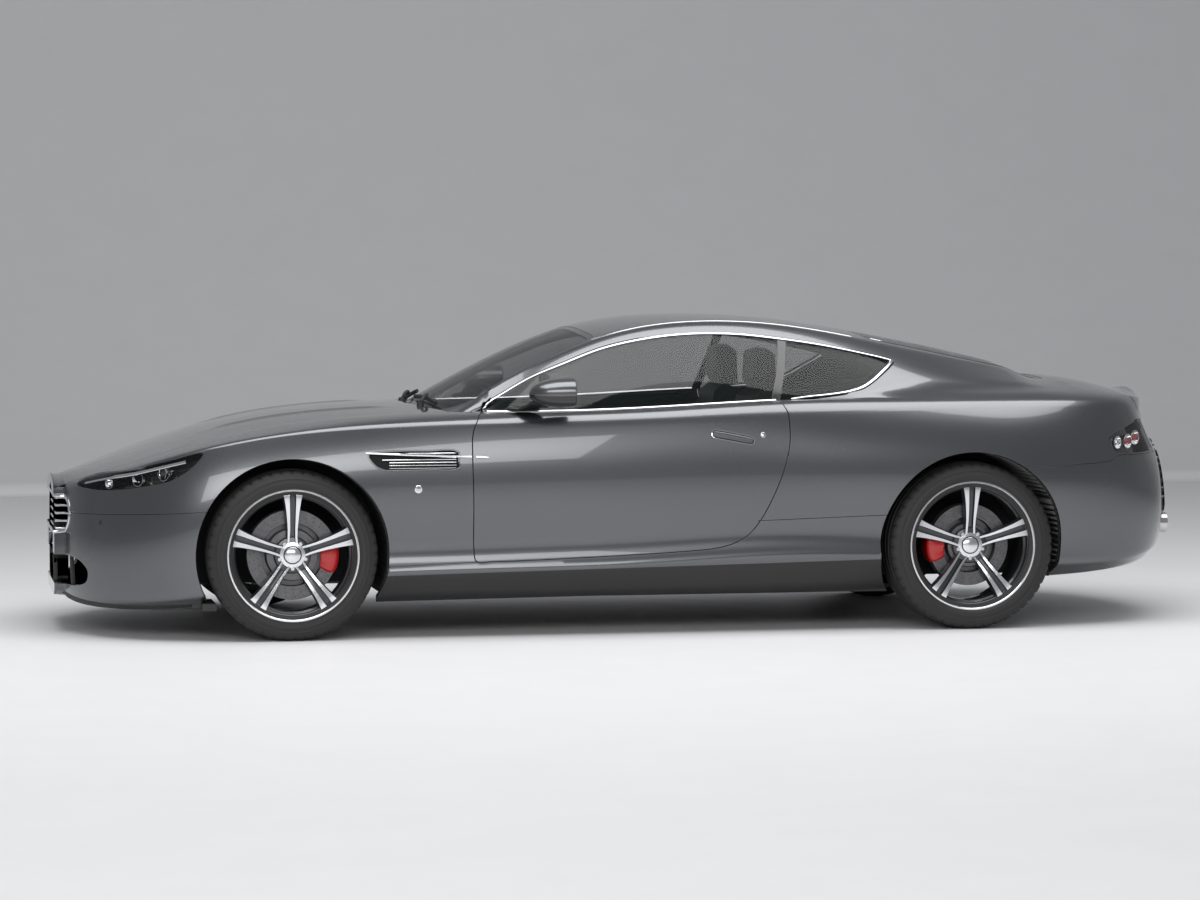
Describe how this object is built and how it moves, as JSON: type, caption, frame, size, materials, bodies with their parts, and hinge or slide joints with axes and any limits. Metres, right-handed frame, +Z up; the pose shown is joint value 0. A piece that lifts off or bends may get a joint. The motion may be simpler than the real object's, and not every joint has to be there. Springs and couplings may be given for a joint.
{
  "type": "two-door coupe car",
  "caption": "Low two-door fastback coupe car with opening doors, bonnet and boot lid, steered front wheels and twin-spoke alloy wheels.",
  "frame": {"origin": "on the ground under the middle of the car's length and width", "axes": "+X towards the nose, +Y to the car's left, +Z up"},
  "size_m": [4.694, 2.076, 1.265],
  "materials": {
    "paint": "metallic clear coat",
    "glass": "lightly tinted",
    "lamp_glass": "clear",
    "tail_glass": "smoked",
    "bare_alloy": "satin",
    "wheel_alloy": "graphite with turned faces",
    "tyre": "moulded",
    "disc_iron": "turned",
    "caliper_paint": "gloss red",
    "chassis_metal": "cast",
    "engine_metal": "cast",
    "floor_black": "black sealed",
    "exhaust_metal": "polished tips",
    "trim_leather": "dark hide"
  },
  "bodies": {
    "body": {"floor_pan": "floor_black", "front_structure": "floor_black", "boot_floor": "floor_black", "roof": "paint", "quarter_left": "paint", "quarter_right": "paint", "front_fender_left": "paint", "front_fender_right": "paint", "front_bumper": "paint", "rear_bumper": "paint", "sills": "paint", "windscreen": "glass", "rear_window": "glass", "quarter_glass": "glass", "grille": "bare_alloy", "headlamps": "lamp_glass", "tail_lamps": "tail_glass", "exhaust": "exhaust_metal", "engine_block": "engine_metal", "front_subframe": "chassis_metal", "rear_subframe": "chassis_metal", "front_seats": "trim_leather", "rear_seat": "trim_leather", "dashboard": "trim_leather", "rear_calipers": "caliper_paint"},
    "bonnet": {"bonnet": "paint"},
    "boot_lid": {"boot_lid": "paint"},
    "steering_wheel": {"steering_wheel": "trim_leather"},
    "door_left": {"door_left": "paint", "door_glass_left": "glass", "mirror_left": "paint"},
    "knuckle_left": {"knuckle_left": "chassis_metal", "caliper_front_left": "caliper_paint"},
    "wheel_front_left": {"rim_front_left": "wheel_alloy", "tyre_front_left": "tyre", "disc_front_left": "disc_iron"},
    "wheel_rear_left": {"rim_rear_left": "wheel_alloy", "tyre_rear_left": "tyre", "disc_rear_left": "disc_iron"},
    "door_right": {"door_right": "paint", "door_glass_right": "glass", "mirror_right": "paint"},
    "knuckle_right": {"knuckle_right": "chassis_metal", "caliper_front_right": "caliper_paint"},
    "wheel_front_right": {"rim_front_right": "wheel_alloy", "tyre_front_right": "tyre", "disc_front_right": "disc_iron"},
    "wheel_rear_right": {"rim_rear_right": "wheel_alloy", "tyre_rear_right": "tyre", "disc_rear_right": "disc_iron"}
  },
  "joints": [
    {"name": "wheel_front_left", "type": "hinge", "parent": "knuckle_left", "child": "wheel_front_left", "pos_m": [1.4365, 0.784, 0.336], "axis": [0, 1, 0], "continuous": true},
    {"name": "wheel_front_right", "type": "hinge", "parent": "knuckle_right", "child": "wheel_front_right", "pos_m": [1.4365, -0.784, 0.336], "axis": [0, 1, 0], "continuous": true},
    {"name": "wheel_rear_left", "type": "hinge", "parent": "body", "child": "wheel_rear_left", "pos_m": [-1.3035, 0.781, 0.337], "axis": [0, 1, 0], "continuous": true},
    {"name": "wheel_rear_right", "type": "hinge", "parent": "body", "child": "wheel_rear_right", "pos_m": [-1.3035, -0.781, 0.337], "axis": [0, 1, 0], "continuous": true},
    {"name": "steer_left", "type": "hinge", "parent": "body", "child": "knuckle_left", "pos_m": [1.4365, 0.75, 0.336], "axis": [0, 0, 1], "range_deg": [-32, 32]},
    {"name": "steer_right", "type": "hinge", "parent": "body", "child": "knuckle_right", "pos_m": [1.4365, -0.75, 0.336], "axis": [0, 0, 1], "range_deg": [-32, 32]},
    {"name": "steering_wheel", "type": "hinge", "parent": "body", "child": "steering_wheel", "pos_m": [0.29, 0.37, 0.85], "axis": [-0.9272, 0, 0.3746], "range_deg": [-450, 450]},
    {"name": "door_left", "type": "hinge", "parent": "body", "child": "door_left", "pos_m": [0.75, 0.93027, 0.6], "axis": [0, 0.1736, -0.9848], "range_deg": [0, 65]},
    {"name": "door_right", "type": "hinge", "parent": "body", "child": "door_right", "pos_m": [0.75, -0.93027, 0.6], "axis": [0, 0.1736, 0.9848], "range_deg": [0, 65]},
    {"name": "bonnet", "type": "hinge", "parent": "body", "child": "bonnet", "pos_m": [0.69, 0, 0.915], "axis": [0, -1, 0], "range_deg": [0, 45]},
    {"name": "boot_lid", "type": "hinge", "parent": "body", "child": "boot_lid", "pos_m": [-1.792, 0, 1.022], "axis": [0, 1, 0], "range_deg": [0, 60]}
  ],
  "couplings": [
    {"joint": "steer_right", "follows": "steer_left", "ratio": 1},
    {"joint": "steering_wheel", "follows": "steer_left", "ratio": 14}
  ]
}
